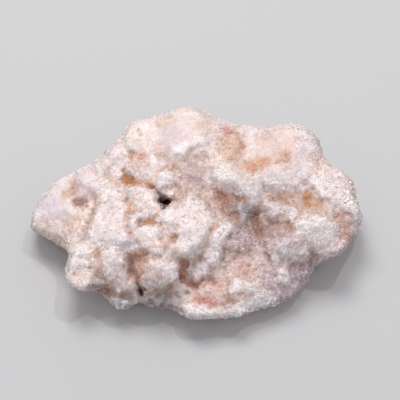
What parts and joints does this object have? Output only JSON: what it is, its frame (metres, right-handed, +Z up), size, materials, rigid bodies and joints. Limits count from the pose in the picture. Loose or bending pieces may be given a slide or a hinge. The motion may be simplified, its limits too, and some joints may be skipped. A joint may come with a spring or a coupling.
{
  "type": "amethyst druse",
  "caption": "Lumpy crust of milky quartz crystals with pits and clefts, cut flat underneath so that it rests face up.",
  "frame": {"origin": "on the flat cut underside, under the middle of the overall box", "axes": "+X along the longest side, +Y away from the side it is displayed from, +Z up from the cut"},
  "size_m": [0.12, 0.087, 0.0393],
  "materials": {
    "milky_quartz": "sugary milky quartz, pinkish white, with orange-brown iron stains in the clefts"
  },
  "bodies": {
    "root": {"amethyst_druse": "milky_quartz"}
  },
  "joints": []
}
